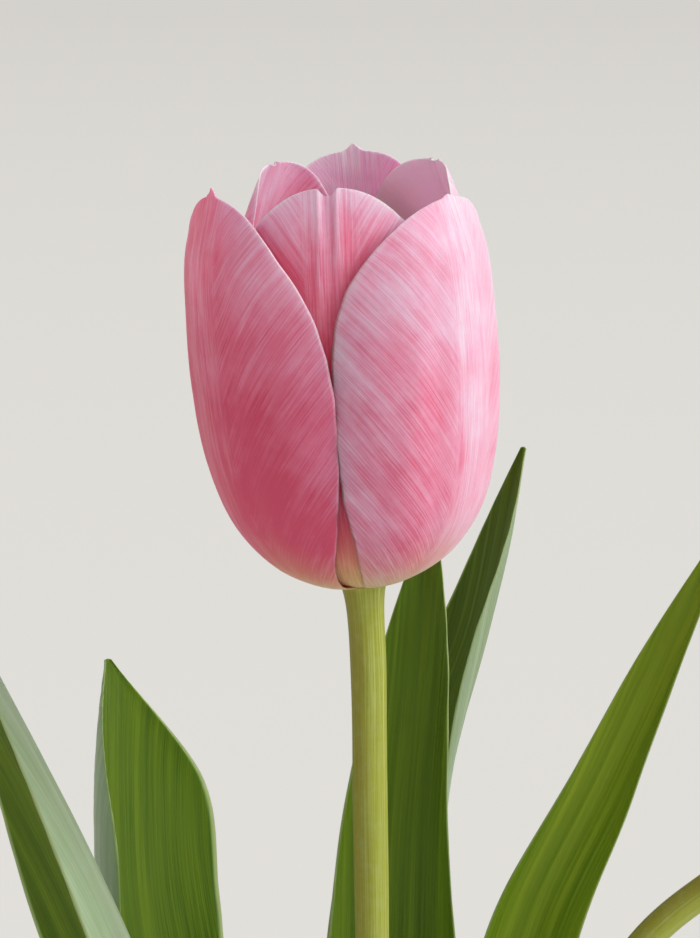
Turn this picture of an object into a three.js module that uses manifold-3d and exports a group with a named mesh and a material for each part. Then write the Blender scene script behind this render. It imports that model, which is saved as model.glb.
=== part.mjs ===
// A bunch of three cut tulips in a glazed vase. Millimetres, +Z up, the vase's
// foot on z = 0 and its axis on the Z axis; the fullest bloom faces -Y.
import * as THREE from 'three';
import { ParametricGeometry } from 'three/addons/geometries/ParametricGeometry.js';
import Module from 'manifold-3d';

// ---- driving dimensions -------------------------------------------------------
const GAP = 0.3;                       // clearance left between neighbouring pieces

const VASE_HEIGHT = 160, VASE_WALL = 4, VASE_FLOOR = 5;
const VASE_PROFILE = [                 // outside of the wall: radius, height
  [37.0, 4.0], [43.0, 22.0], [47.6, 46.0], [47.8, 68.0], [44.4, 92.0],
  [39.4, 114.0], [36.4, 134.0], [36.9, 148.0], [38.8, 158.0],
];
const WATER_LEVEL = 92;

const STEM_RADIUS = 2.75, STEM_FLARE = 3.2;   // along the stem, and under the bloom
const STEM_CUT = 14;                   // height of the cut ends above the table

const PETAL_EDGE = 0.26, PETAL_RIB = 0.46;     // half thickness at margin and midrib
const PETAL_BASE = 0.34;                       // half thickness where it is attached
const LEAF_EDGE = 0.28, LEAF_RIB = 0.6;        // half thickness of a leaf blade

const PISTIL_RADIUS = 2.0, PISTIL_HEIGHT = 21, STIGMA_RADIUS = 3.4;
const FILAMENT_RADIUS = 0.75, ANTHER_RADIUS = 1.25, STAMEN_HEIGHT = 24;
const STAMEN_RING = 4.3;               // radius of the ring the stamens stand on

// Stem centrelines, cut end to bloom: x, y, z.
const STEMS = {
  middle: [[-3, -1, 14], [-2.2, -4, 75], [-1.2, -7, 130], [-0.2, -9.4, 185], [0.5, -10.8, 235],
    [0.1, -11.6, 272], [-0.2, -11.9, 293], [-1, -12, 305.4]],
  right: [[5, -7, 14], [8.5, -4, 66], [13, -1, 115], [20, 3, 163], [30, 7, 207], [43, 9, 237.2],
    [60, 11, 252.3], [80, 9, 266.5], [95, 5, 286]],
  left: [[-8, 6, 14], [-9.5, 3.5, 66], [-14, 0, 118], [-23, -4, 163], [-38, -9, 196],
    [-56, -13, 222], [-74, -15, 246], [-92, -15, 274]],
};

// Leaves, from the sheath round the stem to the tip: x, y, z of the keel, the
// direction the channel opens to (degrees, 0 = -Y, 90 = +X), half the blade's
// unrolled width, and the half angle the blade is rolled through.
const LEAVES = {
  middle_right: [[0.4, -2.9, 98, -40, 7.3, 120], [3, 2.4, 130, -40, 11.5, 78],
    [4, 10.5, 162, -38, 10.5, 64], [4, 16.5, 194, -30, 12, 61], [5.6, 20, 226, -18, 14.6, 60],
    [8.6, 22, 258, -44, 12.4, 58], [19, 24, 290, -72, 9.8, 54], [25.6, 25, 321, -52, 0.4, 30]],
  middle_back: [[-1.3, -3.3, 122, 0, 7.5, 118], [-1.5, -1.4, 148, -1, 12.5, 85],
    [-0.2, 2.6, 176, -5, 14.4, 64], [2.6, 6.2, 204, -11, 14.7, 56], [4.8, 7.4, 232, -16, 13.2, 51],
    [5.8, 7.8, 260, -20, 10.6, 46], [8, 8, 288, -24, 6.8, 38], [9.8, 8, 314, -24, 0.4, 24]],
  left_broad: [[-14.4, 3.6, 112, 20, 7.5, 118], [-19, 10.5, 138, 30, 11.5, 75],
    [-24, 18.5, 163, 46, 14.5, 64], [-32, 28, 187, 58, 17.5, 60], [-39.6, 35, 211, 65, 20.2, 59],
    [-43.8, 38.5, 234, 68, 23.4, 59], [-44.8, 39.8, 257, 68, 21.4, 54],
    [-44.6, 40.5, 281, 66, 0.4, 30]],
  left_leaning: [[-14.2, -0.9, 140, -75, 7.5, 118], [-16.5, 0, 160, -72, 9.6, 90],
    [-22, 1, 181, -68, 12, 74], [-27.6, 3, 203, -66, 15.5, 66], [-34, 5, 226, -66, 20, 62],
    [-43.4, 7, 250, -66, 19.6, 60], [-56.2, 8.5, 277, -66, 12.4, 50], [-72, 10, 308, -66, 0.4, 30]],
  right_leaning: [[12.2, 2.4, 128, 40, 7.5, 118], [15.2, 9.3, 156, 36, 9.2, 64],
    [19.4, 13.6, 184, 24, 9.6, 60], [23, 17.6, 212, 8, 9.8, 54], [28.4, 21, 238, -20, 8.8, 50],
    [40.4, 23, 264, -26, 6.4, 46], [50.8, 25, 287, -28, 4, 40], [60.6, 27, 309, -28, 0.4, 30]],
  right_drooping: [[18.6, -1.5, 152, -168, 6.9, 106], [19.8, -8.2, 173, -172, 9, 62],
    [29, -17.5, 193, -158, 13, 62], [39, -30, 202, -150, 13.6, 52], [50, -43, 200, -145, 12.5, 48],
    [60, -55, 186, -142, 9.5, 40], [68, -64, 166, -140, 5.5, 32], [73, -69, 144, -138, 0.4, 24]],
};

// Petals of one bloom, base to tip: the midrib's radius and height, and the half
// angle the petal covers. az = which way it faces; cup below 1 rolls the margins
// in; cap and tip shape the end; turn swings one margin out and the other in;
// sweep leans the tip sideways; notch dents it.
const PETALS = {
  outer_left: { az: -62, cup: 0.85, cap: 0.7, tip: 0.65, turn: -0.4, sweep: -1.3, notch: 0,
    rows: [[2.8, 0.2, 45], [8.6, 1.5, 43], [14.6, 5.2, 49], [19.8, 12, 58], [22.9, 21.2, 62],
      [24.2, 32, 63], [24.7, 43, 60], [24.2, 53.6, 58], [21.4, 62.9, 60]] },
  outer_right: { az: 52, cup: 0.85, cap: 0.7, tip: 0.7, turn: -0.7, sweep: 0.3, notch: 0,
    rows: [[2.8, 0.2, 47], [8, 1.7, 53], [14.4, 5.6, 60], [19.5, 12.4, 66], [22.1, 21.4, 70],
      [23.2, 32, 71.5], [23.1, 42.6, 70], [22.2, 52.8, 73], [19.6, 61.4, 74]] },
  outer_back: { az: 174, cup: 0.85, cap: 0.72, tip: 0.5, turn: -0.5, sweep: 0, notch: 0,
    rows: [[2.8, 0.2, 45], [9.4, 1.4, 48], [16, 5, 56], [20.8, 12.2, 62], [23.2, 22, 65],
      [24, 33.4, 64], [23.2, 45, 60], [21, 55.8, 58], [18.2, 66, 58]] },
  inner_front: { az: -7, cup: 1.15, cap: 0.7, tip: 0.5, turn: -1.5, sweep: 0, notch: 1.3,
    rows: [[2.6, 1.25, 42], [8.2, 2.9, 44], [13.6, 7.1, 47], [17.6, 14.4, 50], [19.6, 23.8, 55],
      [20.3, 34.4, 57], [20.1, 45.2, 56], [19, 55, 49], [17.6, 64.3, 40]] },
  inner_left: { az: -122, cup: 1.15, cap: 0.74, tip: 0.42, turn: -1.9, sweep: 0, notch: 0.15,
    rows: [[2.6, 1.25, 42], [8.2, 2.9, 46], [13.8, 6.8, 50], [17.6, 14.2, 52], [19.6, 23.8, 55],
      [20, 35, 55], [18.8, 46.6, 55], [16, 57, 58], [12.4, 65.8, 62]] },
  inner_right: { az: 114, cup: 1, cap: 0.74, tip: 0.42, turn: -0.5, sweep: 0, notch: 0.15,
    rows: [[2.6, 1.25, 42], [7.4, 3.2, 46], [12, 7.6, 48], [15.4, 15, 50], [17.6, 24.4, 52],
      [18.8, 35, 53], [19, 46, 55], [18.2, 56.6, 59], [15.6, 65.2, 60]] },
};

// How each bloom sits on its stem: where, which way it leans and how far, how it
// is turned on its stem, its size, and how far it has opened.
const BLOOMS = {
  middle: { base: [-1, -12, 306], towards: -90, lean: 3, spin: 0, size: 1, open: 0 },
  right: { base: [95.2, 5, 286.6], towards: 80, lean: 24, spin: 37, size: 0.96, open: -0.05 },
  left: { base: [-92.3, -15, 274.6], towards: -92, lean: 30, spin: -80, size: 0.98, open: 0.07 },
};

// ---- shared shapes --------------------------------------------------------------
const rad = THREE.MathUtils.degToRad;
const clamp = THREE.MathUtils.clamp;

// One point of a smooth curve through rows of numbers, s from 0 to 1.
function along(rows, s) {
  const p = s * (rows.length - 1), i = Math.min(Math.floor(p), rows.length - 2), f = p - i;
  const at = (k) => rows[clamp(k, 0, rows.length - 1)];
  return rows[0].map((_, c) => {
    const [a, b, d, e] = [at(i - 1)[c], at(i)[c], at(i + 1)[c], at(i + 2)[c]];
    const m0 = (d - a) / 2, m1 = (e - b) / 2;
    return (2 * b - 2 * d + m0 + m1) * f ** 3 + (-3 * b + 3 * d - 2 * m0 - m1) * f ** 2 + m0 * f + b;
  });
}

// A closed blade with a rounded-off margin: skin(s, t) gives the middle surface
// and its normal, half(s, t) half the thickness. It thins to nothing at both ends.
function blade(skin, half, across, lengthwise) {
  const loop = 2 * (across + 1);
  return new ParametricGeometry((u, v, target) => {
    const k = Math.round(u * loop) % loop;
    const top = k <= across;
    const t = top ? -1 + 2 * k / across : 1 - 2 * (k - across - 1) / across;
    const row = Math.round(v * lengthwise);
    const w = (row - 1) / (lengthwise - 1);
    const s = row === 0 ? 0 : 0.012 + 0.988 * (1 - (1 - w) ** 1.25);
    const { point, normal } = skin(s, t);
    const h = row === 0 || row === lengthwise ? 0 : half(s, t) * (top ? 1 : -1);
    target.copy(point).addScaledVector(normal, h);
  }, loop, lengthwise);
}

// A solid of round sections along rows of x, y, z, radius.
function limb(rows, around, lengthwise) {
  return new ParametricGeometry((u, v, target) => {
    const n = lengthwise + 2, row = Math.round(v * n);
    const s = clamp((row - 1) / lengthwise, 0, 1);
    const [x, y, z, r] = along(rows, s);
    const a = along(rows, Math.max(s - 0.01, 0)), b = along(rows, Math.min(s + 0.01, 1));
    const tangent = new THREE.Vector3(b[0] - a[0], b[1] - a[1], b[2] - a[2]).normalize();
    const side = new THREE.Vector3(0, 1, 0).cross(tangent).normalize();
    const up = tangent.clone().cross(side);
    const turn = 2 * Math.PI * (Math.round(u * around) % around) / around;
    const size = row === 0 || row === n ? 0 : r;
    target.set(x, y, z).addScaledVector(side, size * Math.cos(turn))
      .addScaledVector(up, size * Math.sin(turn));
  }, around, lengthwise + 2);
}

// A solid of revolution about the Z axis, from a profile of radius and height.
function turned(profile, around) {
  const points = profile.map(([r, z]) => new THREE.Vector2(r, z));
  return new THREE.LatheGeometry(points, around).rotateX(Math.PI / 2);
}

// ---- one petal ------------------------------------------------------------------
function petalSkin(petal, bloom) {
  const az = rad(petal.az + bloom.spin);
  const out = new THREE.Vector3(Math.sin(az), -Math.cos(az), 0);
  const tangential = new THREE.Vector3(Math.cos(az), Math.sin(az), 0);
  return (s, t) => {
    const [r0, z0, degrees] = along(petal.rows, s);
    const [ra, za] = along(petal.rows, Math.max(s - 0.01, 0));
    const [rb, zb] = along(petal.rows, Math.min(s + 0.01, 1));
    const x = clamp((s - petal.cap) / (1 - petal.cap), 0, 1);
    const taper = (1 - x * x) ** petal.tip, angle = rad(degrees) * taper * t;
    const e = THREE.MathUtils.smoothstep(s, 0, 0.4);
    const r = r0 * (1 + bloom.open * s * s);
    const curl = r * (1 + (petal.cup - 1) * e);
    const lip = curl * Math.sin(angle) + petal.sweep * clamp((s - 0.4) / 0.6, 0, 1) ** 1.5;
    const dent = petal.notch * Math.exp(-((lip / 1.1) ** 4)) * clamp((s - 0.8) / 0.2, 0, 1) ** 2;
    const reach = r - curl + curl * Math.cos(angle) + petal.turn * t * e * taper - 0.3 * dent;
    const slope = Math.hypot(rb - ra, zb - za);
    const point = new THREE.Vector3(0, 0, z0 - dent).addScaledVector(out, reach)
      .addScaledVector(tangential, lip);
    const normal = new THREE.Vector3(0, 0, -(rb - ra) / slope)
      .addScaledVector(out, Math.cos(angle) * (zb - za) / slope)
      .addScaledVector(tangential, Math.sin(angle) * (zb - za) / slope).normalize();
    return { point, normal };
  };
}

function petalHalf(s, t) {
  const body = PETAL_EDGE + (PETAL_RIB - PETAL_EDGE) * (1 - t * t);
  return body + (PETAL_BASE - body) * (1 - THREE.MathUtils.smoothstep(s, 0, 0.15));
}

// ---- one leaf -------------------------------------------------------------------
function leafSkin(rows) {
  return (s, t) => {
    const [x, y, z, degrees, halfWidth, roll] = along(rows, s);
    const a = along(rows, Math.max(s - 0.01, 0)), b = along(rows, Math.min(s + 0.01, 1));
    const tangent = new THREE.Vector3(b[0] - a[0], b[1] - a[1], b[2] - a[2]).normalize();
    const h = new THREE.Vector3(Math.sin(rad(degrees)), -Math.cos(rad(degrees)), 0);
    const inward = h.clone().multiplyScalar(tangent.z)
      .add(new THREE.Vector3(0, 0, -h.dot(tangent))).normalize();
    const side = tangent.clone().cross(inward);
    const curl = Math.max(halfWidth, 0.3) / rad(roll), angle = t * rad(roll);
    const point = new THREE.Vector3(x, y, z).addScaledVector(side, curl * Math.sin(angle))
      .addScaledVector(inward, curl * (1 - Math.cos(angle)));
    const normal = inward.clone().multiplyScalar(Math.cos(angle))
      .addScaledVector(side, -Math.sin(angle));
    return { point, normal };
  };
}

function leafHalf(s, t) {
  const keel = LEAF_RIB - 0.15 * THREE.MathUtils.smoothstep(s, 0.6, 1);
  return Math.min(LEAF_EDGE + (keel - LEAF_EDGE) * (1 - Math.abs(t) ** 1.5), 0.28 + 6 * s);
}

// ---- the vase and its water -------------------------------------------------------
function vaseWall() {
  const outside = new THREE.SplineCurve(VASE_PROFILE.map(([r, z]) => new THREE.Vector2(r, z)))
    .getPoints(13);
  const inside = outside.map((p, i) => {
    const a = outside[Math.max(i - 1, 0)], b = outside[Math.min(i + 1, outside.length - 1)];
    const n = new THREE.Vector2(-(b.y - a.y), b.x - a.x).normalize();
    return p.clone().addScaledVector(n, VASE_WALL);
  }).filter((p) => p.y > VASE_FLOOR + 3 && p.y < VASE_HEIGHT - 2.5);
  const pairs = (line) => line.map((p) => [p.x, p.y]);
  return { outside: pairs(outside), inside: pairs(inside) };
}

function vaseShape() {
  const { outside, inside } = vaseWall();
  const lip = outside[outside.length - 1], inner = inside[inside.length - 1], low = inside[0];
  const middle = (lip[0] + inner[0]) / 2, half = (lip[0] - inner[0]) / 2;
  const rim = [20, 55, 90, 125, 160].map((a) => [
    middle + half * Math.cos(rad(a)), lip[1] + (VASE_HEIGHT - lip[1]) * Math.sin(rad(a))]);
  return turned([
    [0, 0], [34.2, 0], [36, 1.2], ...outside, ...rim, ...inside.reverse(),
    [low[0] - 0.8, low[1] - 2.2], [low[0] - 4, VASE_FLOOR], [0, VASE_FLOOR]], 32);
}

function waterShape() {
  const { inside } = vaseWall();
  const dry = inside.findIndex(([, z]) => z > WATER_LEVEL - 1);
  const [[r0, z0], [r1, z1]] = [inside[dry - 1], inside[dry]];
  const edge = r0 + (r1 - r0) * (WATER_LEVEL - z0) / (z1 - z0) - GAP;
  const wet = inside.slice(0, dry).map(([r, z]) => [r - GAP, z]);
  const low = wet[0];
  return turned([
    [0, VASE_FLOOR + GAP], [low[0] - 4, VASE_FLOOR + GAP], [low[0] - 0.8, low[1] - 1.9], ...wet,
    [edge, WATER_LEVEL], [0, WATER_LEVEL]], 32);
}

// ---- solids, for cutting the stems' room out of the water ---------------------------
const wasm = await Module();
wasm.setup();

function solidOf(geometry) {
  const index = new Map(), points = [], faces = [];
  const position = geometry.getAttribute('position');
  const key = (i) => {
    const p = [position.getX(i), position.getY(i), position.getZ(i)];
    const name = p.map((c) => Math.round(c * 1e4)).join();
    if (!index.has(name)) { index.set(name, points.length / 3); points.push(...p); }
    return index.get(name);
  };
  const order = geometry.index;
  for (let i = 0; i < order.count; i += 3) {
    const f = [0, 1, 2].map((k) => key(order.getX(i + k)));
    if (new Set(f).size === 3) faces.push(...f);
  }
  return new wasm.Manifold(new wasm.Mesh({
    numProp: 3, vertProperties: new Float32Array(points), triVerts: new Uint32Array(faces) }));
}

function geometryOf(solid) {
  const mesh = solid.getMesh();
  const geometry = new THREE.BufferGeometry();
  geometry.setAttribute('position', new THREE.BufferAttribute(new Float32Array(mesh.vertProperties), 3));
  geometry.setIndex(new THREE.BufferAttribute(new Uint32Array(mesh.triVerts), 1));
  geometry.computeVertexNormals();
  return geometry;
}

// ---- materials ----------------------------------------------------------------------
const paint = (color, roughness) => new THREE.MeshStandardMaterial({ color, roughness });
const PETAL_OUTER = paint('#d77f9c', 0.5), PETAL_INNER = paint('#e0a0b4', 0.5);
const LEAF = paint('#4f6a1c', 0.45), STEM = paint('#8c9440', 0.5);
const PISTIL = paint('#b9c07a', 0.5), ANTHER = paint('#d9b53c', 0.7);
const GLAZE = paint('#ece8df', 0.2), WATER = paint('#b9c6c2', 0.05);

const root = new THREE.Group();
root.name = 'tulips_in_a_vase';

function add(parent, name, geometry, material) {
  const mesh = new THREE.Mesh(geometry, material);
  mesh.name = name;
  parent.add(mesh);
  return mesh;
}

// ---- the vase -------------------------------------------------------------------------
add(root, 'vase', vaseShape(), GLAZE);

// ---- stems, thicker where the bloom sits -------------------------------------------------
function stemRows(name, grow = 0) {
  const line = STEMS[name];
  return line.map(([x, y, z], i) => [x, y, z,
    grow + (i === line.length - 1 ? STEM_FLARE : STEM_RADIUS) * BLOOMS[name].size]);
}
for (const name of Object.keys(STEMS)) {
  add(root, `stem_${name}`, limb(stemRows(name), 8, 20), STEM);
}

// ---- water round the stems ---------------------------------------------------------------
let water = solidOf(waterShape());
for (const name of Object.keys(STEMS)) {
  const room = stemRows(name, GAP + 0.15);
  room[0] = [room[0][0], room[0][1], STEM_CUT - 0.5, room[0][3]];
  water = water.subtract(solidOf(limb(room, 8, 20)));
}
add(root, 'water', geometryOf(water), WATER);

// ---- leaves ---------------------------------------------------------------------------------
for (const [name, rows] of Object.entries(LEAVES)) {
  add(root, `leaf_${name}`, blade(leafSkin(rows), leafHalf, 6, 14), LEAF);
}

// ---- blooms ---------------------------------------------------------------------------------
function bloomGroup(name, bloom) {
  const group = new THREE.Group();
  group.name = `bloom_${name}`;
  for (const [petalName, petal] of Object.entries(PETALS)) {
    const geometry = blade(petalSkin(petal, bloom), petalHalf, 6, 10);
    const skinColour = petalName.startsWith('outer') ? PETAL_OUTER : PETAL_INNER;
    add(group, `petal_${name}_${petalName}`, geometry, skinColour);
  }
  // the three-sided pistil with its spreading stigma
  const pistil = turned([
    [0, 0.35], [PISTIL_RADIUS * 0.8, 0.35], [PISTIL_RADIUS, 3], [PISTIL_RADIUS * 0.95, 10],
    [PISTIL_RADIUS * 0.8, PISTIL_HEIGHT - 4], [STIGMA_RADIUS, PISTIL_HEIGHT - 1.2],
    [STIGMA_RADIUS * 0.8, PISTIL_HEIGHT], [0, PISTIL_HEIGHT - 0.8]], 9);
  add(group, `pistil_${name}`, pistil, PISTIL);
  // six stamens in a ring, each a filament that swells into its anther
  for (let i = 0; i < 6; i += 1) {
    const a = rad(bloom.spin + 60 * i + 25);
    const at = (r, z, thick) => [r * Math.sin(a), -r * Math.cos(a), z, thick];
    const rows = [at(STAMEN_RING, 2.7, 0.6), at(STAMEN_RING + 0.5, 6, FILAMENT_RADIUS),
      at(STAMEN_RING + 1.2, 10, 0.55), at(STAMEN_RING + 1.5, 12, ANTHER_RADIUS),
      at(STAMEN_RING + 1.8, 18, ANTHER_RADIUS), at(STAMEN_RING + 2.2, STAMEN_HEIGHT, 0.5)];
    add(group, `stamen_${name}_${i + 1}`, limb(rows, 6, 7), ANTHER);
  }
  group.scale.setScalar(bloom.size);
  group.position.set(...bloom.base);
  const towards = new THREE.Vector3(Math.sin(rad(bloom.towards)), -Math.cos(rad(bloom.towards)), 0);
  const axis = new THREE.Vector3(0, 0, 1).cross(towards).normalize();
  group.quaternion.setFromAxisAngle(axis, rad(bloom.lean));
  return group;
}
for (const [name, bloom] of Object.entries(BLOOMS)) root.add(bloomGroup(name, bloom));

export default root;
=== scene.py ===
import math
import bpy
import numpy as np
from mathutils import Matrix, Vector


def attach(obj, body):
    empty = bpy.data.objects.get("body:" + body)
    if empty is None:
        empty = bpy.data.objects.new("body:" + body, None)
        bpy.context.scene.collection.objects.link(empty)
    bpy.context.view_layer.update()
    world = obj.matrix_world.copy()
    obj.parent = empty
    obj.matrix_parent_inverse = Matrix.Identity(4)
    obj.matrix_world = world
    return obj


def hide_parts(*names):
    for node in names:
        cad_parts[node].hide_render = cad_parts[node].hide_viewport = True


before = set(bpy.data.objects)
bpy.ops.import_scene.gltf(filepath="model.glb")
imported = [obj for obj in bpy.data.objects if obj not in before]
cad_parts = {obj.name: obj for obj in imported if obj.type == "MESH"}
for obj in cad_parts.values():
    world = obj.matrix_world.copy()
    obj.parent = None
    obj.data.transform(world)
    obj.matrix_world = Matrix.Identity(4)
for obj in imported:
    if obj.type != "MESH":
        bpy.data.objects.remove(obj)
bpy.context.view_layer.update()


# ---- the vase -----------------------------------------------------------------------
# A wheel-thrown stoneware vase: one wall of fired clay, 4 mm thick, turned smooth and
# dipped in a warm white gloss glaze that thins over the lip; the foot it stands on is
# ground flat and left as bare clay.
MM = 0.001


def node(tree, kind, links=None, **settings):
    """A new shader node; links gives its inputs, either sockets to join or plain values."""
    made = tree.nodes.new(kind)
    for key, value in settings.items():
        setattr(made, key, value)
    for key, value in (links or {}).items():
        if isinstance(value, bpy.types.NodeSocket):
            tree.links.new(value, made.inputs[key])
        else:
            made.inputs[key].default_value = value
    return made


def calc(tree, operation, a, b=0.0):
    return node(tree, "ShaderNodeMath", {0: a, 1: b}, operation=operation).outputs[0]


def rise(tree, value, low, high):
    """0 where the value is low, 1 where it is high, eased in between."""
    made = node(tree, "ShaderNodeMapRange", {"Value": value, "From Min": low, "From Max": high},
                interpolation_type="SMOOTHSTEP")
    return made.outputs["Result"]


def blend(tree, factor, a, b):
    """Colour a, or b where the factor is 1."""
    return node(tree, "ShaderNodeMix", {0: factor, 6: a, 7: b}, data_type="RGBA").outputs[2]


def noise(tree, vector, scale, detail=2.0, roughness=0.5):
    made = node(tree, "ShaderNodeTexNoise", {"Vector": vector, "Scale": scale, "Detail": detail,
                                             "Roughness": roughness})
    return made.outputs["Fac"]


def place(tree, x, y, z):
    return node(tree, "ShaderNodeCombineXYZ", {"X": x, "Y": y, "Z": z}).outputs[0]


def attribute(tree, name):
    return node(tree, "ShaderNodeAttribute", attribute_name=name).outputs["Fac"]


def ramp(tree, factor, stops):
    made = node(tree, "ShaderNodeValToRGB", {"Fac": factor})
    elements = made.color_ramp.elements
    while len(elements) < len(stops):
        elements.new(0.5)
    for element, (position, colour) in zip(elements, stops):
        element.position = position
        element.color = (*colour, 1.0)
    return made.outputs["Color"]


def material(name):
    made = bpy.data.materials.new(name)
    made.use_nodes = True
    made.node_tree.nodes.clear()
    return made, made.node_tree


def finish_material(tree, surface):
    out = node(tree, "ShaderNodeOutputMaterial")
    tree.links.new(surface, out.inputs["Surface"])


def mesh_object(name, points, faces, values=None):
    mesh = bpy.data.meshes.new(name)
    mesh.from_pydata([tuple(p) for p in points], [], faces)
    for key, numbers in (values or {}).items():
        layer = mesh.attributes.new(key, "FLOAT", "POINT")
        layer.data.foreach_set("value", np.asarray(numbers, dtype=np.float32).ravel())
    mesh.polygons.foreach_set("use_smooth", [True] * len(mesh.polygons))
    mesh.validate()
    made = bpy.data.objects.new(name, mesh)
    bpy.context.scene.collection.objects.link(made)
    return made


def along(rows, s):
    """A smooth curve through rows of numbers, s from 0 to 1."""
    rows = np.asarray(rows, dtype=float)
    p = np.clip(s, 0, 1) * (len(rows) - 1)
    i = np.minimum(p.astype(int), len(rows) - 2)
    f = (p - i)[..., None]
    a, b, c, d = (rows[np.clip(i + k, 0, len(rows) - 1)] for k in (-1, 0, 1, 2))
    m0, m1 = (c - a) / 2, (d - b) / 2
    return (2 * b - 2 * c + m0 + m1) * f**3 + (-3 * b + 3 * c - 2 * m0 - m1) * f**2 + m0 * f + b


def ring_solid(name, rings, first, last, values=None):
    """A closed skin over rings of points, with one point closing it at each end."""
    count, around = rings.shape[:2]
    index = np.arange(count * around).reshape(count, around)
    ahead = np.roll(index, -1, axis=1)
    quads = np.stack([index[:-1], ahead[:-1], ahead[1:], index[1:]], axis=-1).reshape(-1, 4).tolist()
    low, high = count * around, count * around + 1
    caps = [(low, int(ahead[0, k]), int(index[0, k])) for k in range(around)]
    caps += [(int(index[-1, k]), int(ahead[-1, k]), high) for k in range(around)]
    points = np.vstack([rings.reshape(-1, 3), first, last])
    spread = {}
    for key, v in (values or {}).items():
        ends = [v[0].mean(), v[-1].mean()]
        spread[key] = np.concatenate([np.broadcast_to(v, (count, around)).ravel(), ends])
    return mesh_object(name, points * MM, quads + caps, spread)


def turned(name, profile, around, values=None):
    """A solid of revolution; the profile, radius and height in mm, starts and ends on the Z axis."""
    profile = np.asarray(profile, dtype=float)
    angle = np.linspace(0, 2 * math.pi, around, endpoint=False)
    radius, height = profile[1:-1, 0, None], profile[1:-1, 1, None]
    rings = np.stack([radius * np.cos(angle), radius * np.sin(angle), height + 0 * angle], axis=-1)
    spread = {key: np.asarray(v)[1:-1, None] for key, v in (values or {}).items()}
    return ring_solid(name, rings, [0, 0, profile[0, 1]], [0, 0, profile[-1, 1]], spread)


VASE_WALL, VASE_FLOOR, VASE_HEIGHT = 4.0, 5.0, 160.0
RIDGE_DEPTH, RIDGE_TURNS, GLAZE_SKIN = 0.11, 1.15, 0.12
# the outside, from the foot to the lip: radius and height
VASE_PROFILE = [[37.0, 4.0], [43.0, 22.0], [47.6, 46.0], [47.8, 68.0], [44.4, 92.0],
                [39.4, 114.0], [36.4, 134.0], [36.9, 148.0], [38.8, 158.0]]


def vase_wall(count=150):
    outside = along(VASE_PROFILE, np.linspace(0, 1, count))
    step = np.gradient(outside, axis=0)
    normal = np.stack([step[:, 1], -step[:, 0]], axis=-1)
    normal /= np.linalg.norm(normal, axis=1, keepdims=True)
    # the faint ridges that the potter's fingers leave, fading out above the foot
    ridges = RIDGE_DEPTH * np.sin(outside[:, 1] * RIDGE_TURNS) * np.clip((outside[:, 1] - 8) / 20, 0, 1)
    inside = outside - normal * VASE_WALL
    outside = outside - normal * (GLAZE_SKIN - ridges[:, None])
    keep = (inside[:, 1] > VASE_FLOOR + 3) & (inside[:, 1] < VASE_HEIGHT - 2.6)
    return outside, inside[keep]


outside, inside = vase_wall()
lip_mid = (outside[-1] + inside[-1]) / 2
lip_half = (outside[-1, 0] - inside[-1, 0]) / 2
lip_rise = VASE_HEIGHT - outside[-1, 1]
rim = [[lip_mid[0] + lip_half * math.cos(a), outside[-1, 1] + lip_rise * math.sin(a)]
       for a in np.radians(np.linspace(12, 168, 14))]
foot = [[0, 0], [16, 0], [33.6, 0], [34.2, 0.05],
        [34.9, 0.35], [35.5, 1.0], [35.9, 2.0], [36.35, 3.0]]
bowl = [[inside[0, 0] - 0.8, inside[0, 1] - 1.5], [inside[0, 0] - 2.2, inside[0, 1] - 2.6],
        [inside[0, 0] - 5, VASE_FLOOR], [14, VASE_FLOOR], [0, VASE_FLOOR]]
profile = np.vstack([foot, outside, rim, inside[::-1], bowl])
thinness = np.clip(1 - np.abs(profile[:, 1] - VASE_HEIGHT) / 2.2, 0, 1)
bare = ((profile[:, 1] < 2.6) & (np.arange(len(profile)) < len(foot))).astype(float)
vase = turned("vase_glazed", profile, 144, {"thin": thinness, "bare": bare})

glaze, tree = material("warm_white_glaze")
where = node(tree, "ShaderNodeTexCoord").outputs["Object"]
cloud = noise(tree, where, 38.0, 4.0, 0.6)
speck = noise(tree, where, 950.0, 1.0, 0.4)
thin, bare_clay = attribute(tree, "thin"), attribute(tree, "bare")
body = ramp(tree, cloud, [(0.3, (0.74, 0.715, 0.66)), (0.55, (0.80, 0.785, 0.74)),
                          (0.8, (0.83, 0.82, 0.785))])
specks = calc(tree, "MULTIPLY", rise(tree, speck, 0.70, 0.75), 0.55)
body = blend(tree, specks, body, (0.33, 0.24, 0.16, 1))
worn = calc(tree, "MULTIPLY", thin, rise(tree, noise(tree, where, 210.0, 3.0), 0.3, 0.62))
body = blend(tree, calc(tree, "MULTIPLY", worn, 0.75), body, (0.50, 0.37, 0.25, 1))
clay = ramp(tree, noise(tree, where, 700.0, 3.0, 0.7),
            [(0.3, (0.47, 0.37, 0.28)), (0.75, (0.62, 0.52, 0.41))])
body = blend(tree, bare_clay, body, clay)
pitted = node(tree, "ShaderNodeBump", {"Strength": 0.22, "Distance": 0.0006,
                                      "Height": noise(tree, where, 520.0, 3.0, 0.6)})
shader = node(tree, "ShaderNodeBsdfPrincipled", {
    "Base Color": body, "Normal": pitted.outputs[0], "Coat Weight": 0.5, "Coat Roughness": 0.06,
    "Roughness": calc(tree, "ADD", calc(tree, "MULTIPLY", bare_clay, 0.6), 0.2),
    "Subsurface Weight": 0.10, "Subsurface Scale": 1.0,
    "Subsurface Radius": (0.0016, 0.0012, 0.0008)})
finish_material(tree, shader.outputs[0])
vase.data.materials.append(glaze)
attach(vase, "root")
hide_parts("vase")


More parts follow.
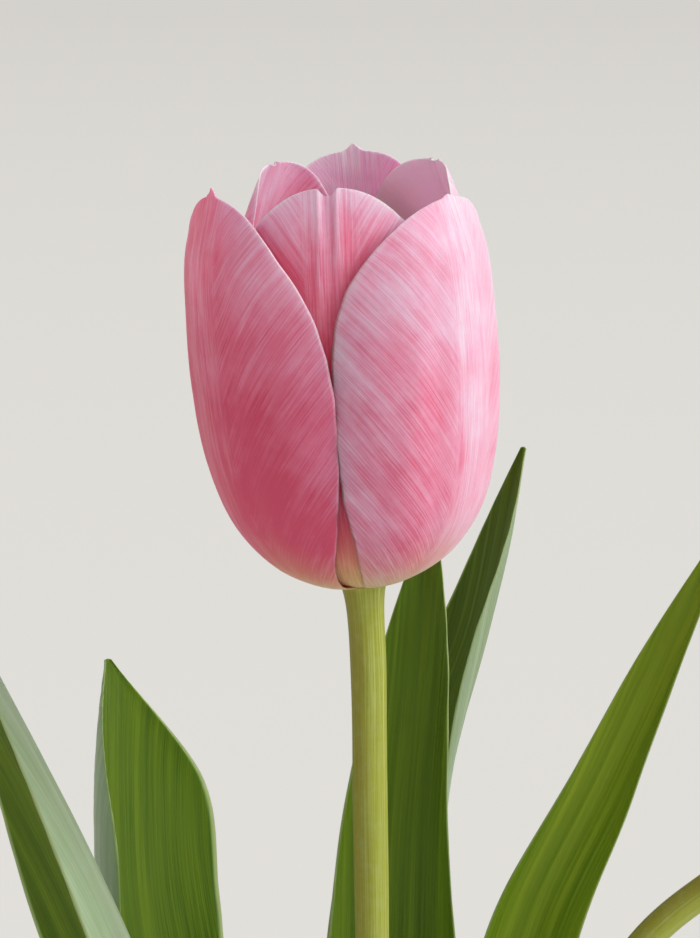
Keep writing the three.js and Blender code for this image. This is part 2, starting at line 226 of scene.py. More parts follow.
# ---- the water ------------------------------------------------------------------------
# Tap water to 92 mm above the table, drawn up along the wall in a small meniscus.
# Slightly clouded, as it is after the stems have stood in it for a day.
WATER_LEVEL, MENISCUS, WATER_GAP = 92.0, 0.35, 0.3
wet = inside[inside[:, 1] < WATER_LEVEL] - [WATER_GAP, 0.0]
bottom = VASE_FLOOR + WATER_GAP
bed = [[0, bottom], [14, bottom], [wet[0, 0] - 5, bottom], [wet[0, 0] - 0.8, wet[0, 1] - 1.4]]
edge = [[wet[-1, 0] - d, WATER_LEVEL + MENISCUS * math.exp(-d / 0.9) - MENISCUS]
        for d in (0.05, 0.5, 1.1, 2.0, 3.5, 8.0)]
level = [[20, WATER_LEVEL - MENISCUS], [0, WATER_LEVEL - MENISCUS]]
water = turned("water_in_vase", np.vstack([bed, wet, edge, level]), 96)

clear, tree = material("clouded_water")
where = node(tree, "ShaderNodeTexCoord").outputs["Object"]
ripple = node(tree, "ShaderNodeBump", {"Strength": 0.15, "Distance": 0.0004,
                                      "Height": noise(tree, where, 60.0, 2.0)})
tint = ramp(tree, noise(tree, where, 30.0, 2.0), [(0.3, (0.86, 0.93, 0.88)), (0.7, (0.93, 0.97, 0.95))])
shader = node(tree, "ShaderNodeBsdfPrincipled", {
    "Base Color": tint, "Roughness": 0.02, "IOR": 1.33, "Transmission Weight": 1.0,
    "Normal": ripple.outputs[0]})
finish_material(tree, shader.outputs[0])
water.data.materials.append(clear)
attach(water, "root")
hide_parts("water")


# ---- the stems ---------------------------------------------------------------------------
# Cut tulip stems: smooth, round, a little over 5 mm thick, full of sap and covered with
# a thin wax. They widen into the seat of the bloom and end below in a plain knife cut.
STEM_RADIUS, STEM_FLARE, STEM_END = 2.74, 3.9, 2.6
FLARE_LENGTH, DOME_HEIGHT = 12.0, 1.6
# each stem's share of that thickness, and the points that it runs through, cut end first
STEMS = {
    "middle": (1.0, [[-3, -1, 14], [-2.2, -4, 75], [-1.2, -7, 130], [-0.2, -9.4, 185],
                     [0.5, -10.8, 235], [0.1, -11.6, 272], [-0.2, -11.9, 293], [-1, -12, 307]]),
    "right": (0.96, [[5, -7, 14], [8.5, -4, 66], [13, -1, 115], [20, 3, 163], [30, 7, 207],
                     [43, 9, 237.2], [60, 11, 252.3], [80, 9, 266.5], [95.5, 5, 287.4]]),
    "left": (0.98, [[-8, 6, 14], [-9.5, 3.5, 66], [-14, 0, 118], [-23, -4, 163], [-38, -9, 196],
                    [-56, -13, 222], [-74, -15, 246], [-92.7, -15, 275.4]]),
}


def directions(rows, s):
    step = along(rows, np.minimum(s + 0.004, 1))[..., :3] - along(rows, np.maximum(s - 0.004, 0))[..., :3]
    return step / np.linalg.norm(step, axis=-1, keepdims=True)


def limb(name, rows, radius, around, lengthwise, crowd=1.0):
    """A closed limb of round section; radius(s, angle) is in mm. Its rings crowd towards the end."""
    s = 1 - (1 - np.linspace(0, 1, lengthwise)[:, None]) ** crowd
    angle = np.linspace(0, 2 * math.pi, around, endpoint=False)[None, :]
    centre, tangent = along(rows, s[:, 0])[:, :3], directions(rows, s[:, 0])
    side = np.cross([0.0, 1.0, 0.0], tangent)
    side /= np.linalg.norm(side, axis=1, keepdims=True)
    up = np.cross(tangent, side)
    r = radius(s, angle)
    rings = (centre[:, None] + side[:, None] * (r * np.cos(angle))[..., None]
             + up[:, None] * (r * np.sin(angle))[..., None])
    values = {"s": s + 0 * angle, "ring_x": np.cos(angle) + 0 * s, "ring_y": np.sin(angle) + 0 * s}
    return ring_solid(name, rings, centre[0], centre[-1], values)


stem_skin, tree = material("waxy_stem")
s, ring_x, ring_y = (attribute(tree, key) for key in ("s", "ring_x", "ring_y"))
fibre = noise(tree, place(tree, calc(tree, "MULTIPLY", ring_x, 4.2), calc(tree, "MULTIPLY", ring_y, 4.2),
                          calc(tree, "MULTIPLY", s, 3.0)), 2.2, 4.0, 0.65)
where = node(tree, "ShaderNodeTexCoord").outputs["Object"]
mottle = noise(tree, where, 90.0, 3.0)
sap = ramp(tree, fibre, [(0.28, (0.265, 0.285, 0.022)), (0.5, (0.335, 0.365, 0.040)),
                         (0.74, (0.46, 0.54, 0.17))])
# the side away from the light is painted browner and darker: partly the stem's own brown flush, partly
# painted shade
shade_side_flush = rise(tree, calc(tree, "ADD", ring_x, calc(tree, "MULTIPLY", mottle, 0.9)), 0.75, -0.55)
skin = blend(tree, calc(tree, "MULTIPLY", shade_side_flush, 0.62), sap, (0.235, 0.190, 0.010, 1))
pale = calc(tree, "MULTIPLY", rise(tree, s, 0.975, 1.0), 0.7)
skin = blend(tree, pale, skin, (0.60, 0.52, 0.19, 1))
cut = rise(tree, s, 0.008, 0.0)
skin = blend(tree, cut, skin, (0.52, 0.55, 0.30, 1))
waxy = rise(tree, noise(tree, where, 420.0, 4.0, 0.7), 0.4, 0.75)
skin = blend(tree, calc(tree, "MULTIPLY", waxy, 0.12), skin, (0.55, 0.60, 0.36, 1))
lined = node(tree, "ShaderNodeBump", {"Strength": 0.15, "Distance": 0.0004, "Height": fibre})
shader = node(tree, "ShaderNodeBsdfPrincipled", {
    "Base Color": skin, "Normal": lined.outputs[0],
    "Roughness": calc(tree, "ADD", calc(tree, "MULTIPLY", waxy, 0.15), 0.4),
    "Subsurface Weight": 0.35, "Subsurface Scale": 1.0, "Subsurface Radius": (0.0009, 0.0010, 0.0004),
    "Specular IOR Level": 0.3})
finish_material(tree, shader.outputs[0])

for name, (size, rows) in STEMS.items():
    last = math.dist(rows[-2], rows[-1]) * (len(rows) - 1)

    def thickness(s, angle, size=size, last=last, seed=len(name)):
        left = (1 - s) * last
        seat = np.clip(1 - left / FLARE_LENGTH, 0, 1) ** 2.5
        sway = 0.06 * np.sin(9 * s + seed) + 0.04 * np.sin(31 * s + 2 * seed)
        flute = 0.035 * np.cos(5 * angle + 3 * s) + 0.02 * np.cos(11 * angle - 5 * s)
        full = STEM_RADIUS + sway * (1 - seat) + (STEM_FLARE - STEM_RADIUS) * seat + flute
        # the seat of the bloom is a low dome
        return size * (STEM_END + (full - STEM_END) * np.clip(left / DOME_HEIGHT, 0, 1) ** 0.4)

    piece = limb(f"stem_{name}_skin", rows, thickness, 40, 230, 1.5)
    piece.data.materials.append(stem_skin)
    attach(piece, "root")
    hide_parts(f"stem_{name}")


# ---- the leaves -----------------------------------------------------------------------------
# Strap-shaped tulip leaves, each rolled into a channel that clasps its stem at the foot.
# Half a millimetre or so of soft tissue with parallel veins: deep green on the inside of
# the channel, blue-grey with wax on the outside, and a thin pale margin.
# Rows from foot to tip: x, y, z, the way the inside faces, half width, half the roll.
LEAVES = {
    "middle_right": [[0.4, -2.9, 98, -40, 7.3, 120], [3, 2.4, 130, -40, 11.5, 78],
                     [4, 10.5, 162, -38, 10.5, 64], [4, 16.5, 194, -30, 12, 61],
                     [5.6, 20, 226, -18, 14.6, 60], [8.6, 22, 258, -44, 12.4, 58],
                     [19, 24, 290, -72, 9.8, 54], [25.6, 25, 321, -52, 0.4, 30]],
    "middle_back": [[-1.3, -3.3, 122, 0, 7.5, 118], [-1.5, -1.4, 148, -1, 12.5, 85],
                    [-0.2, 2.6, 176, -5, 14.4, 64], [2.6, 6.2, 204, -11, 14.7, 56],
                    [4.8, 7.4, 232, -16, 13.2, 51], [5.8, 7.8, 260, -20, 10.6, 46],
                    [8, 8, 288, -24, 6.8, 38], [9.8, 8, 314, -24, 0.4, 24]],
    "left_broad": [[-14.4, 3.6, 112, 20, 7.5, 118], [-19, 10.5, 138, 30, 11.5, 75],
                   [-24, 18.5, 163, 46, 14.5, 64], [-32, 28, 187, 58, 17.5, 60],
                   [-39.6, 35, 211, 65, 20.2, 59], [-43.8, 38.5, 234, 68, 23.4, 59],
                   [-44.8, 39.8, 257, 68, 21.4, 54], [-44.6, 40.5, 281, 66, 0.4, 30]],
    "left_leaning": [[-14.2, -0.9, 140, -75, 7.5, 118], [-16.5, 0, 160, -72, 9.6, 90],
                     [-22, 1, 181, -68, 12, 74], [-27.6, 3, 203, -66, 15.5, 66],
                     [-34, 5, 226, -66, 20, 62], [-43.4, 7, 250, -66, 19.6, 60],
                     [-56.2, 8.5, 277, -66, 12.4, 50], [-72, 10, 308, -66, 0.4, 30]],
    "right_leaning": [[12.2, 2.4, 128, 40, 7.5, 118], [15.2, 9.3, 156, 36, 9.2, 64],
                      [19.4, 13.6, 184, 24, 9.6, 60], [23, 17.6, 212, 8, 9.8, 54],
                      [28.4, 21, 238, -20, 8.8, 50], [40.4, 23, 264, -26, 6.4, 46],
                      [50.8, 25, 287, -28, 4, 40], [60.6, 27, 309, -28, 0.4, 30]],
    "right_drooping": [[18.6, -1.5, 152, -168, 6.9, 106], [19.8, -8.2, 173, -172, 9, 62],
                       [29, -17.5, 193, -158, 13, 62], [39, -30, 202, -150, 13.6, 52],
                       [50, -43, 200, -145, 12.5, 48], [60, -55, 186, -142, 9.5, 40],
                       [68, -64, 166, -140, 5.5, 32], [73, -69, 144, -138, 0.4, 24]],
}

# some leaves are painted paler than the rest
LEAF_TONES = {"right_leaning": 0.30, "left_leaning": 0.08, "left_broad": 0.05}
LEAF_EDGE, LEAF_BODY = 0.20, 0.22


def ramp_up(x, low, high):
    x = np.clip((x - low) / (high - low), 0, 1)
    return x * x * (3 - 2 * x)


def blade(name, point, normal, half, grid, extra):
    """A closed thin blade: a middle surface thickened by half (in mm) each way, with rounded margins.
    side is 1 on the face that the normal leaves, and 0 on the other."""
    def around(front, back):
        return np.concatenate([front, back[:, -2:0:-1]], axis=1)

    s, t = grid
    h = (half * np.sqrt(np.clip(1 - np.abs(t) ** 24, 0, 1)))[..., None]
    count, cols = s.shape[0] - 1, s.shape[1]
    loop = 2 * cols - 2
    rings = around(point + normal * h, point - normal * h)
    side = around(np.ones_like(s), np.zeros_like(s))
    side[:, [0, cols - 1]] = 0.5
    values = {"s": around(s, s), "t": around(t, t), "side": side}
    values.update({key: around(v, v) for key, v in extra.items()})
    values = {key: np.append(v[:-1], v[-1].mean()) for key, v in values.items()}
    index = np.arange(count * loop).reshape(count, loop)
    ahead = np.roll(index, -1, axis=1)
    quads = np.stack([index[:-1], ahead[:-1], ahead[1:], index[1:]], axis=-1).reshape(-1, 4).tolist()
    tip = [(int(index[-1, k]), int(ahead[-1, k]), count * loop) for k in range(loop)]
    root = [(0, loop - 1, 1), (cols - 2, cols, cols - 1)]
    root += [(k, loop - k, loop - k - 1, k + 1) for k in range(1, cols - 2)]
    points = np.vstack([rings[:-1].reshape(-1, 3), rings[-1].mean(axis=0)])
    return mesh_object(name, points * MM, quads + tip + root, values)


def leaf_surface(rows, s, t, seed):
    """The leaf's middle surface, the normal on its inside, and its half width at each place."""
    row = along(rows, s)
    heading, roll = np.radians(row[..., 3]), np.radians(row[..., 5])
    half_width = np.maximum(row[..., 4], 0.25)
    tangent = directions(rows, s)
    h = np.stack([np.sin(heading), -np.cos(heading), np.zeros_like(heading)], axis=-1)
    inward = h * tangent[..., 2:] - np.array([0, 0, 1.0]) * (h * tangent).sum(-1, keepdims=True)
    inward /= np.linalg.norm(inward, axis=-1, keepdims=True)
    side = np.cross(tangent, inward)
    angle, curl = t * roll, half_width / roll
    point = (row[..., :3] + side * (curl * np.sin(angle))[..., None]
             + inward * (curl * (1 - np.cos(angle)))[..., None])
    normal = inward * np.cos(angle)[..., None] - side * np.sin(angle)[..., None]
    # slack in the margins, a keel crease, and the low ribs over the larger veins
    free = ramp_up(s, 0.3, 0.6)
    wave = 0.55 * free * ramp_up(np.abs(t), 0.45, 1.0) * np.sin(2 * math.pi * (2.3 * s + 0.25 * t) + seed)
    x = t * half_width
    keel = -0.22 * np.exp(-(x / 0.7) ** 2) * ramp_up(s, 0.1, 0.3)
    ribs = 0.05 * np.cos(2 * math.pi * x / 1.9) * ramp_up(half_width, 1.0, 5.0)
    return point + normal * (wave + keel + ribs)[..., None], normal, half_width


veins = bpy.data.node_groups.new("leaf_veins", "ShaderNodeTree")
for socket in ("Along", "Across mm"):
    veins.interface.new_socket(socket, in_out="INPUT", socket_type="NodeSocketFloat")
for socket in ("Fine", "Broad"):
    veins.interface.new_socket(socket, in_out="OUTPUT", socket_type="NodeSocketFloat")
given = node(veins, "NodeGroupInput").outputs
out = node(veins, "NodeGroupOutput")
fine = noise(veins, place(veins, calc(veins, "MULTIPLY", given["Across mm"], 2.1),
                          calc(veins, "MULTIPLY", given["Along"], 5.0), 0.0), 1.0, 3.0, 0.6)
broad = noise(veins, place(veins, calc(veins, "MULTIPLY", given["Across mm"], 0.45),
                           calc(veins, "MULTIPLY", given["Along"], 2.2), 4.0), 1.0, 2.0, 0.5)
veins.links.new(fine, out.inputs["Fine"])
veins.links.new(broad, out.inputs["Broad"])

leaf_skin, tree = material("leaf_tissue")
s, t, side, wide = (attribute(tree, key) for key in ("s", "t", "side", "wide"))
lines = node(tree, "ShaderNodeGroup", node_tree=veins)
tree.links.new(s, lines.inputs["Along"])
tree.links.new(calc(tree, "MULTIPLY", t, wide), lines.inputs["Across mm"])
where = node(tree, "ShaderNodeTexCoord").outputs["Object"]
cloud = noise(tree, where, 34.0, 3.0)
green_at = calc(tree, "ADD", calc(tree, "MULTIPLY", lines.outputs["Fine"], 0.45),
                calc(tree, "MULTIPLY", lines.outputs["Broad"], 0.55))
green_at = calc(tree, "ADD", green_at, attribute(tree, "tone"))
green = ramp(tree, green_at, [(0.3, (0.045, 0.098, 0.001)), (0.5, (0.088, 0.170, 0.001)),
                              (0.7, (0.150, 0.250, 0.004)), (1.0, (0.290, 0.400, 0.020))])
wax = ramp(tree, green_at, [(0.3, (0.20, 0.30, 0.155)), (0.5, (0.29, 0.40, 0.225)),
                            (0.7, (0.38, 0.49, 0.31))])
bloom_film = calc(tree, "MULTIPLY", rise(tree, cloud, 0.42, 0.72), 0.3)
green = blend(tree, calc(tree, "MULTIPLY", bloom_film, 0.30), green, (0.17, 0.27, 0.06, 1))
wax = blend(tree, bloom_film, wax, (0.50, 0.60, 0.47, 1))
skin = blend(tree, side, wax, green)
edge = rise(tree, calc(tree, "ABSOLUTE", t), 0.955, 0.99)
skin = blend(tree, calc(tree, "MULTIPLY", edge, 0.5), skin, (0.45, 0.53, 0.25, 1))
sheath = calc(tree, "MULTIPLY", rise(tree, s, 0.13, 0.0), 0.6)
skin = blend(tree, sheath, skin, (0.42, 0.47, 0.22, 1))
relief = node(tree, "ShaderNodeBump", {"Strength": 0.42, "Distance": 0.0005,
                                       "Height": lines.outputs["Fine"]})
shader = node(tree, "ShaderNodeBsdfPrincipled", {
    "Base Color": skin, "Normal": relief.outputs[0], "Specular IOR Level": 0.22,
    "Roughness": calc(tree, "ADD", calc(tree, "MULTIPLY", cloud, 0.18), 0.36),
    "Subsurface Weight": 0.45, "Subsurface Scale": 1.0, "Subsurface Radius": (0.0006, 0.0008, 0.0003)})
finish_material(tree, shader.outputs[0])

for number, (name, rows) in enumerate(LEAVES.items()):
    s, t = np.meshgrid(1 - (1 - np.linspace(0, 1, 150)) ** 1.25, np.linspace(-1, 1, 47), indexing="ij")
    point, normal, wide = leaf_surface(rows, s, t, 1.7 * number)
    half = (LEAF_EDGE + LEAF_BODY * (1 - np.abs(t) ** 1.5)) * (0.75 + 0.25 * ramp_up(1 - s, 0.0, 0.3))
    piece = blade(f"leaf_{name}_blade", point, normal, half, (s, t),
                  {"wide": wide, "tone": np.full_like(s, LEAF_TONES.get(name, 0.0))})
    piece.data.materials.append(leaf_skin)
    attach(piece, "root")
    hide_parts(f"leaf_{name}")


# ---- the petals ------------------------------------------------------------------------------
# Three outer and three inner petals to a bloom, set in two rings on the end of the stem.
# Each is a soft satin blade under a millimetre thick, with a grooved midrib, fine veins
# that fan out to thin wavy margins, and a greenish yellow seat.
PETAL_RIB, PETAL_MARGIN, PETAL_LENGTH = 0.22, 0.11, 76
SEAT_DROP, NOTCH_PULL = 0.9, 0.3
# Rows from seat to tip: distance from the bloom's axis, height, half the angle it wraps.
# az is where it faces, cup how round it is across, cap and tip how it closes to its end,
# turn which margin lies outside, sweep how far its end leans, notch and nub its tip's shape,
# tone how pale it is, with lit, crown, rib and lining_and_glow for one side, end, midrib and inside.
# lit paints one side paler, as painted light; lining_and_glow pales the inside face, partly its own paler
# colour and partly painted light that stands in for light shining through the petal.
PETALS = {
    "outer_left": dict(az=-62, cup=0.85, cap=0.7, tip=0.65, turn=-0.4, sweep=-1.3, notch=0, nub=1.3,
        tone=-0.46, lit=0.22, crown=0.44, rib=0.03, lining_and_glow=0.05,
        rows=[[2.8, 0.2, 45], [8.6, 1.5, 43], [14.6, 5.2, 49], [19.8, 12, 58], [22.9, 21.2, 62],
              [24.2, 32, 63], [24.7, 43, 60], [24.2, 53.6, 58], [21.4, 62.9, 60]]),
    "outer_right": dict(az=52, cup=0.85, cap=0.7, tip=0.7, turn=-0.7, sweep=0.3, notch=0, nub=0.4,
        tone=0.08, lit=0.2, crown=0.15, rib=0.12, lining_and_glow=0.05,
        rows=[[2.8, 0.2, 47], [8, 1.7, 53], [14.4, 5.6, 60], [19.5, 12.4, 66], [22.1, 21.4, 70],
              [23.2, 32, 71.5], [23.1, 42.6, 70], [22.2, 52.8, 73], [19.6, 61.4, 74]]),
    "outer_back": dict(az=174, cup=0.85, cap=0.72, tip=0.5, turn=-0.5, sweep=0, notch=0, nub=1.1,
        tone=-0.02, lit=0.1, crown=0.2, rib=0.08, lining_and_glow=0.28,
        rows=[[2.8, 0.2, 45], [9.4, 1.4, 48], [16, 5, 56], [20.8, 12.2, 62], [23.2, 22, 65],
              [24, 33.4, 64], [23.2, 45, 60], [21, 55.8, 58], [18.2, 66, 58]]),
    "inner_front": dict(az=-7, cup=1.15, cap=0.7, tip=0.5, turn=-1.5, sweep=0, notch=1.3, nub=0,
        tone=-0.13, lit=0.12, crown=0.2, rib=0.06, lining_and_glow=0,
        rows=[[2.6, 1.25, 42], [8.2, 2.9, 44], [13.6, 7.1, 47], [17.6, 14.4, 50], [19.6, 23.8, 55],
              [20.3, 34.4, 57], [20.1, 45.2, 56], [19, 55, 49], [17.6, 64.3, 40]]),
    "inner_left": dict(az=-122, cup=1.15, cap=0.74, tip=0.42, turn=-1.9, sweep=0, notch=0.15, nub=0,
        tone=-0.05, lit=0.1, crown=0.2, rib=0.06, lining_and_glow=0.02,
        rows=[[2.6, 1.25, 42], [8.2, 2.9, 46], [13.8, 6.8, 50], [17.6, 14.2, 52], [19.6, 23.8, 55],
              [20, 35, 55], [18.8, 46.6, 55], [16, 57, 58], [12.4, 65.8, 62]]),
    "inner_right": dict(az=114, cup=1, cap=0.74, tip=0.42, turn=-0.5, sweep=0, notch=0.15, nub=0,
        tone=0.12, lit=0.1, crown=0.2, rib=0.06, lining_and_glow=0.7,
        rows=[[2.6, 1.25, 42], [7.4, 3.2, 46], [12, 7.6, 48], [15.4, 15, 50], [17.6, 24.4, 52],
              [18.8, 35, 53], [19, 46, 55], [18.2, 56.6, 59], [15.6, 65.2, 60]]),
}
# base is where its seat is; it leans over about a level axis that points at the angle towards
BLOOMS = {
    "middle": dict(base=[-1, -12, 306], towards=-90, lean=3, spin=0, size=1, open=0),
    "right": dict(base=[95.2, 5, 286.6], towards=80, lean=24, spin=37, size=0.96, open=-0.05),
    "left": dict(base=[-92.3, -15, 274.6], towards=-92, lean=30, spin=-80, size=0.98, open=0.07),
}


def hill(x, centre, width):
    return np.exp(-(((x - centre) / width) ** 2))


def petal_surface(petal, bloom, s, t, seed):
    """The petal's middle surface in the bloom's own frame, its outward normal, and its painted values."""
    row = along(petal["rows"], s)
    step = along(petal["rows"], np.minimum(s + 0.01, 1)) - along(petal["rows"], np.maximum(s - 0.01, 0))
    slope = step[..., :2] / np.linalg.norm(step[..., :2], axis=-1, keepdims=True)
    az = math.radians(petal["az"] + bloom["spin"])
    out, sideways = np.array([math.sin(az), -math.cos(az), 0]), np.array([math.cos(az), math.sin(az), 0])
    x = np.clip((s - petal["cap"]) / (1 - petal["cap"]), 0, 1)
    taper = (1 - x * x) ** petal["tip"]
    angle = np.radians(row[..., 2]) * taper * t
    settle = ramp_up(s, 0, 0.4)
    r = row[..., 0] * (1 + bloom["open"] * s * s)
    curl = r * (1 + (petal["cup"] - 1) * settle)
    free = ramp_up(s, 0.12, 0.4)
    edge = np.abs(t)
    # the margin's own line is slightly ragged
    ragged = 0.13 * np.sin(41 * s + seed) + 0.09 * np.sin(97 * s + 2.3 * seed + 2 * t)
    lip = curl * np.sin(angle) + np.sign(t) * ragged * free * ramp_up(edge, 0.8, 1) * (1 - x**4)
    lip = lip + petal["sweep"] * np.clip((s - 0.4) / 0.6, 0, 1) ** 1.5
    end = np.clip((s - 0.8) / 0.2, 0, 1)
    dent = petal["notch"] * np.exp(-((lip / 1.1) ** 4)) * end**2
    nub = petal["nub"] * np.exp(-(((lip - petal["sweep"]) / 0.9) ** 2)) * ramp_up(s, 0.93, 1)
    reach = r - curl + curl * np.cos(angle) + petal["turn"] * t * settle * taper - NOTCH_PULL * dent
    point = reach[..., None] * out + lip[..., None] * sideways
    inner = petal["notch"] > 0
    point[..., 2] = row[..., 1] - dent + nub - SEAT_DROP * inner * (1 - ramp_up(s, 0.0, 0.2))
    normal = ((np.cos(angle) * slope[..., 1])[..., None] * out
              + (np.sin(angle) * slope[..., 1])[..., None] * sideways)
    normal[..., 2] = -slope[..., 0]
    normal /= np.linalg.norm(normal, axis=-1, keepdims=True)

    across = curl * angle
    # swollen lobes either side of the midrib, a shallow fold between, and a wavy margin
    lobe = (0.34 * hill(edge, 0.60, 0.22) * hill(s, 0.50, 0.26)
            - 0.26 * hill(edge, 0.30, 0.09) * ramp_up(s, 0.15, 0.4))
    if not inner:
        lobe = lobe + 0.30 * hill(t + 0.48 - 0.7 * (s - 0.6), 0, 0.09) * hill(s, 0.62, 0.15)
    wave = 0.26 * np.sin(17 * s + seed + 1.3 * np.sign(t)) + 0.15 * np.sin(43 * s + 2 * seed)
    wave = wave + 0.05 * np.sin(131 * s + 3 * seed)
    ribs = (0.07 if not inner else 0.10) * np.cos(2 * math.pi * across / 1.25) * hill(across, 0, 2.6)
    ridge = (0.26 if inner else 0.05) * (hill(np.abs(across), 1.35, 0.55) - 0.8 * hill(across, 0, 0.6))
    relief = (0.5 if inner else 1.0) * lobe * (1 - ramp_up(s, 0.86, 1))
    relief = relief + wave * free * ramp_up(edge, 0.72, 1.05) * np.sqrt(taper)
    relief = relief + (ribs + ridge) * ramp_up(s, 0.2, 0.5)
    seat_low, seat_high = (0.10, 0.42) if inner else (0.04, 0.38)
    return point + normal * relief[..., None], normal, {
        "run": s * PETAL_LENGTH, "across": across, "tone": petal_tone(petal, s, t, across),
        "lining_and_glow": np.full_like(s, petal["lining_and_glow"]),
        "seat": 1 - ramp_up(s, seat_low, seat_high + 0.03 * np.sin(5 * t + seed))}


def petal_tone(petal, s, t, across):
    """How pale the petal is at each place, from 0, deep rose, to 1, nearly white."""
    edge = np.abs(t)
    # each petal's own tone shift is partly painted light and shade: the left petal, facing away from the
    # light, is painted deepest
    tone = 0.30 + petal["crown"] * ramp_up(s, 0.45, 0.95) + petal["tone"]
    # painted light: one side of the petal is painted paler
    tone += petal["lit"] * ramp_up(t, -0.6, 0.8)
    tone += 0.16 * ramp_up(edge, 0.88, 1.0) * ramp_up(s, 0.55, 0.85)
    tone += petal["rib"] * hill(across, 0, 3.6) * ramp_up(s, 0.15, 0.4)
    tone -= 0.08 * hill(edge, 0.48, 0.18) * ramp_up(s, 0.10, 0.28) * (1 - ramp_up(s, 0.5, 0.8))
    # the inner petals are paler at the tip and painted darker low down: partly their own deeper rose,
    # partly painted shade where they sit inside the outer petals
    if petal["notch"] > 0:
        tone += 0.20 * ramp_up(s, 0.86, 0.99) - 0.24 * (1 - ramp_up(s, 0.6, 0.95))
    return tone


FAN_WIDTH, FAN_RISE = 27.0, 34.0
vein_flow = bpy.data.node_groups.new("petal_veins", "ShaderNodeTree")
for socket in ("Run mm", "Across mm", "Shift"):
    vein_flow.interface.new_socket(socket, in_out="INPUT", socket_type="NodeSocketFloat")
for socket in ("Fine", "Streaks", "Midrib"):
    vein_flow.interface.new_socket(socket, in_out="OUTPUT", socket_type="NodeSocketFloat")
given = node(vein_flow, "NodeGroupInput").outputs
out = node(vein_flow, "NodeGroupOutput")
far = calc(vein_flow, "ABSOLUTE", given["Across mm"])
# the veins leave the midrib one after another and fan out to the margin
fan = calc(vein_flow, "POWER", calc(vein_flow, "DIVIDE", far, FAN_WIDTH), 0.72)
fan = calc(vein_flow, "MULTIPLY", fan, FAN_RISE)
flow = calc(vein_flow, "SUBTRACT", given["Run mm"], fan)
side = calc(vein_flow, "MULTIPLY", calc(vein_flow, "SIGN", given["Across mm"]), 7.0)
shift = calc(vein_flow, "ADD", given["Shift"], side)
midrib = rise(vein_flow, far, 5.5, 2.5)


def vein_noise(lines_per_mm, along_scale, detail):
    fan_place = place(vein_flow, calc(vein_flow, "MULTIPLY", flow, lines_per_mm),
                      calc(vein_flow, "MULTIPLY", far, along_scale), shift)
    rib_place = place(vein_flow, calc(vein_flow, "MULTIPLY", given["Across mm"], 1.6 * lines_per_mm),
                      calc(vein_flow, "MULTIPLY", given["Run mm"], along_scale), shift)
    fanned, straight = (noise(vein_flow, at, 1.0, detail, 0.55) for at in (fan_place, rib_place))
    return node(vein_flow, "ShaderNodeMix", {0: midrib, 2: fanned, 3: straight}).outputs[0]


vein_flow.links.new(vein_noise(2.8, 0.14, 1.5), out.inputs["Fine"])
vein_flow.links.new(vein_noise(0.55, 0.08, 3.0), out.inputs["Streaks"])
vein_flow.links.new(midrib, out.inputs["Midrib"])


def petal_material(name):
    made, tree = material(name)
    run, across, tone, seat, shift, side, lining_and_glow = (
        attribute(tree, key) for key in ("run", "across", "tone", "seat", "shift", "side", "lining_and_glow"))
    inside = calc(tree, "SUBTRACT", 1.0, side)
    # the inside face is painted paler: partly its own colour, partly painted light that stands in for
    # light shining through the petal
    tone = calc(tree, "ADD", tone, calc(tree, "MULTIPLY", inside, lining_and_glow))
    veins = node(tree, "ShaderNodeGroup", node_tree=vein_flow)
    for socket, value in (("Run mm", run), ("Across mm", across), ("Shift", shift)):
        tree.links.new(value, veins.inputs[socket])
    where = node(tree, "ShaderNodeTexCoord").outputs["Object"]
    cloud = noise(tree, where, 110.0, 5.0, 0.62)
    fine, streaks = veins.outputs["Fine"], veins.outputs["Streaks"]
    spread = calc(tree, "ADD", calc(tree, "MULTIPLY", calc(tree, "SUBTRACT", streaks, 0.5), 0.34),
                  calc(tree, "MULTIPLY", calc(tree, "SUBTRACT", fine, 0.5), 0.62))
    spread = calc(tree, "ADD", spread, calc(tree, "MULTIPLY", calc(tree, "SUBTRACT", cloud, 0.5), 0.62))
    rose = ramp(tree, calc(tree, "ADD", tone, spread), [
        (0.0, (0.70, 0.080, 0.165)), (0.26, (0.82, 0.180, 0.300)), (0.50, (0.91, 0.355, 0.500)),
        (0.74, (0.95, 0.550, 0.700)), (1.0, (0.96, 0.74, 0.84))])
    cream = calc(tree, "MULTIPLY", veins.outputs["Midrib"], rise(tree, streaks, 0.45, 0.65))
    rose = blend(tree, calc(tree, "MULTIPLY", cream, 0.12), rose, (0.93, 0.62, 0.60, 1))
    green = ramp(tree, fine, [(0.3, (0.62, 0.40, 0.15)), (0.7, (0.78, 0.63, 0.30))])
    skin = blend(tree, calc(tree, "MULTIPLY", seat, 0.85), rose, green)
    relief = node(tree, "ShaderNodeBump", {"Strength": 0.5, "Distance": 0.00022, "Height": fine})
    relief = node(tree, "ShaderNodeBump", {"Strength": 0.40, "Distance": 0.0008, "Height": cloud,
                                           "Normal": relief.outputs[0]})
    shader = node(tree, "ShaderNodeBsdfPrincipled", {
        "Base Color": skin, "Normal": relief.outputs[0], "Specular IOR Level": 0.28,
        "Roughness": calc(tree, "ADD", calc(tree, "MULTIPLY", fine, 0.15), 0.42),
        "Subsurface Weight": 0.9, "Subsurface Scale": 1.0, "Subsurface Radius": (0.0011, 0.0006, 0.0008),
        "Sheen Weight": 0.10, "Sheen Roughness": 0.4})
    finish_material(tree, shader.outputs[0])
    return made


PETAL_SKIN = {ring: petal_material(f"rose_petal_{ring}") for ring in ("outer", "inner")}


def on_stem(points, bloom, turn_only=False):
    """Takes points, or directions, from a bloom's own frame to where the bloom sits and leans."""
    lean, towards = math.radians(bloom["lean"]), math.radians(bloom["towards"])
    axis = np.array([math.cos(towards), math.sin(towards), 0])
    turned_points = (points * math.cos(lean) + np.cross(axis, points) * math.sin(lean)
                     + axis * (points @ axis)[..., None] * (1 - math.cos(lean)))
    return turned_points if turn_only else turned_points * bloom["size"] + np.array(bloom["base"])


